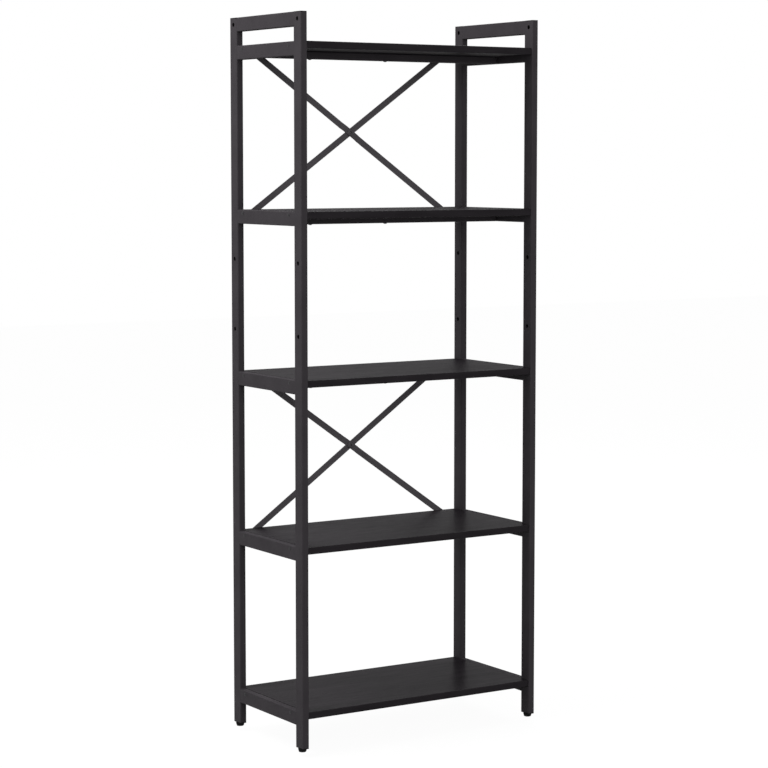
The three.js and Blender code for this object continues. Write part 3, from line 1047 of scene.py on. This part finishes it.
# %% Push the plugs into the posts
for corner in corners:
    x, y = middle_of(f"post_{corner}").xy
    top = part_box(f"post_cap_{corner}")[1].z
    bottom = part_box(f"foot_insert_{corner}")[0].z
    cap = copy_piece(cap_pattern, f"cap_{corner}", (x, y, top), (math.pi, 0, 0))
    add_piece(cap, moulded, solid=f"post_cap_{corner}")
    insert = copy_piece(insert_pattern, f"insert_{corner}", (x, y, bottom))
    add_piece(insert, moulded, solid=f"foot_insert_{corner}")
discard(cap_pattern)
discard(insert_pattern)
print("plugs:", 2 * len(corners))

# %% [markdown]
# ## Levelling feet
# Each foot is a round pad on a threaded stud that screws into the plug, and it moves with the body
# of its own corner. The pad is tapered and well rounded towards the floor, and has a pocket for
# the stud from above, so one turned outline makes it.

# %% Turn the pads
pad_height = 7.7
pad_top_radius = 9.5
pad_floor_radius = 8.25
pad_foot_round = 2.2
pad_top_round = 0.8
pocket_radius = 3.3
pocket_floor = 2.7
pocket_chamfer = 0.2
pad_outline = [
    (0, 0),
    *rounded(pad_floor_radius - pad_foot_round, pad_foot_round, pad_foot_round, -90, 0, 8),
    *rounded(pad_top_radius - pad_top_round, pad_height - pad_top_round, pad_top_round, 0, 90, 6),
    (pocket_radius + pocket_chamfer, pad_height),
    (pocket_radius, pad_height - pocket_chamfer),
    (pocket_radius, pocket_floor),
    (0, pocket_floor),
]
pad_pattern = turned("pad_pattern", pad_outline, 64)
for corner in corners:
    pad = copy_piece(pad_pattern, f"pad_{corner}", underside_of(f"foot_pad_{corner}"))
    add_piece(pad, moulded, f"{corner}_foot", f"foot_pad_{corner}")
discard(pad_pattern)
print("pads:", len(corners))

# %% [markdown]
# The stud's thread is real geometry, as it shows when a foot is screwed out. A thread could be cut
# out of a rod, but one tooth of its profile swept up a screw line gives rod and thread at once. The
# rod is then cut off flat at both ends, at a height where no point of the thread lies in the cut.

# %% Cut the threads
thread_pitch = 1
root = 2.5
crest = 2.95
tooth = [(root, 0), (root, 0.15), (crest, 0.5), (crest, 0.6), (root, 0.95), (root, thread_pitch)]
turn_steps = 32
spare_turns = 4
stud_low, stud_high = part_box("foot_stud_front_left")
stud_length = stud_high.z - stud_low.z
turns_needed = int(stud_length / mm / thread_pitch) + spare_turns
stud_foot = 2.05 * mm

stud_pattern = outline_wire("stud_pattern", tooth)
close_piece()
modify(
    stud_pattern, "SCREW", axis="Z", steps=turn_steps, render_steps=turn_steps,
    iterations=turns_needed, screw_offset=thread_pitch * mm,
    use_merge_vertices=True, merge_threshold=2 * same_place
)
open_piece(stud_pattern)
bpy.ops.mesh.select_all(action="SELECT")
bpy.ops.mesh.remove_doubles(threshold=2 * same_place)
for height, up in ((stud_foot, -1), (stud_foot + stud_length, 1)):
    bpy.ops.mesh.select_all(action="SELECT")
    bpy.ops.mesh.bisect(
        plane_co=(0, 0, height), plane_no=(0, 0, up), use_fill=True, clear_outer=True,
        threshold=0.1 * same_place
    )
bpy.ops.mesh.select_all(action="SELECT")
bpy.ops.mesh.normals_make_consistent(inside=False)
close_piece()
shade_round(stud_pattern)
for corner in corners:
    place = underside_of(f"foot_stud_{corner}")
    place.z -= stud_foot
    stud = copy_piece(stud_pattern, f"stud_{corner}", place)
    add_piece(stud, zinc, f"{corner}_foot", f"foot_stud_{corner}")
print("stud:", [round(value / mm, 2) for value in stud_pattern.dimensions], "mm")
discard(stud_pattern)

# %% [markdown]
# ## Welds
# A rail ends square against a post whose corners are rounded, so a groove is left on both wide
# faces. It is filled with weld and ground flush, and the faces run on from rail to post. A fill is
# an upright strip as wide and as deep as the corner's radius, and its upper and lower outer edges
# are rounded as the rail's are.

# %% Fill and grind the grooves
fill_round = 0.98 * tube_radius
near_face = 0.1 * mm


def rails_of(side):
    """Names of the six solids that are the rails of one frame."""
    return [f"side_rail_{side}_{level}" for level in levels] + [f"handle_rail_{side}"]


def groove_fill(name, rail_edge, y_step, face_x, x_step, low_z, high_z):
    """Strip from the rail's end to where the post's flat face starts."""
    y_ends = sorted((rail_edge, rail_edge + y_step * tube_radius))
    x_ends = sorted((face_x, face_x + x_step * tube_radius))
    piece = start_block(name, (x_ends[0], y_ends[0], low_z), (x_ends[1], y_ends[1], high_z))
    along = edges_along(1)
    pick(piece, "EDGE", lambda edge: along(edge) and abs(edge.verts[0].co.x - face_x) < near_face)
    bpy.ops.mesh.bevel(offset=fill_round, segments=corner_steps, affect="EDGES")
    close_piece()
    shade_round(piece)
    return piece


welds = {side: [] for side in sides}
for side in sides:
    for rail in rails_of(side):
        low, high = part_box(rail)
        for rail_edge, y_step in ((low.y, -1), (high.y, 1)):
            for face_x, x_step in ((low.x, 1), (high.x, -1)):
                fill = groove_fill("fill", rail_edge, y_step, face_x, x_step, low.z, high.z)
                welds[side].append(fill)
    print(side, "fills:", len(welds[side]))

# %% [markdown]
# Above and below, where flat meets flat, the rail is welded with a bead that is left as it is. A
# bump in the coat could hint at it, but its outline shows against the light. So a bead is a short
# round bar that is divided along its length, with every other ring drawn in, and it has the
# ripples of the weld in its shape.

# %% Make a weld bead
bead_radius = 1.2 * mm
bead_length = 10 * mm
bead_steps = 12
ripples = 12
end_squeeze = 0.6
ripple_squeeze = 0.88

bpy.ops.mesh.primitive_cylinder_add(
    vertices=bead_steps, radius=bead_radius, depth=bead_length, rotation=axis_turns["X"]
)
bead_pattern = bpy.context.object
bead_pattern.name = "bead_pattern"
bpy.ops.object.transform_apply()
open_piece(bead_pattern)
pick(bead_pattern, "EDGE", edges_along(0))
bpy.ops.mesh.subdivide(number_cuts=2 * ripples - 1)
ring_step = bead_length / (2 * ripples)
for ring in range(0, 2 * ripples + 1, 2):
    x = ring * ring_step - bead_length / 2
    pick(bead_pattern, "VERT", lambda vertex: abs(vertex.co.x - x) < 0.1 * ring_step)
    is_end = ring in (0, 2 * ripples)
    squeeze = end_squeeze if is_end else ripple_squeeze
    bpy.ops.transform.resize(value=(1, squeeze, squeeze), center_override=(x, 0, 0))
close_piece()
shade_round(bead_pattern, 70)
print("bead:", [round(value / mm, 2) for value in bead_pattern.dimensions], "mm")

# %% [markdown]
# A bead lies at each end of a rail, above and below, apart from the top of the handle rail, where
# rail and cap end flush. All welds of one side are joined into one piece.

# %% Lay the beads
for side in sides:
    for rail in rails_of(side):
        low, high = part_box(rail)
        x = (low.x + high.x) / 2
        for y in (low.y, high.y):
            for z in (low.z, high.z):
                if z < post_high.z:
                    welds[side].append(copy_piece(bead_pattern, "bead", (x, y, z)))
    bpy.ops.object.select_all(action="DESELECT")
    for weld in welds[side]:
        weld.select_set(True)
    whole = welds[side][0]
    bpy.context.view_layer.objects.active = whole
    bpy.ops.object.join()
    whole.name = f"weld_beads_{side}"
    add_piece(whole, powder_coat)
    print(side, "welds:", len(welds[side]))
discard(bead_pattern)
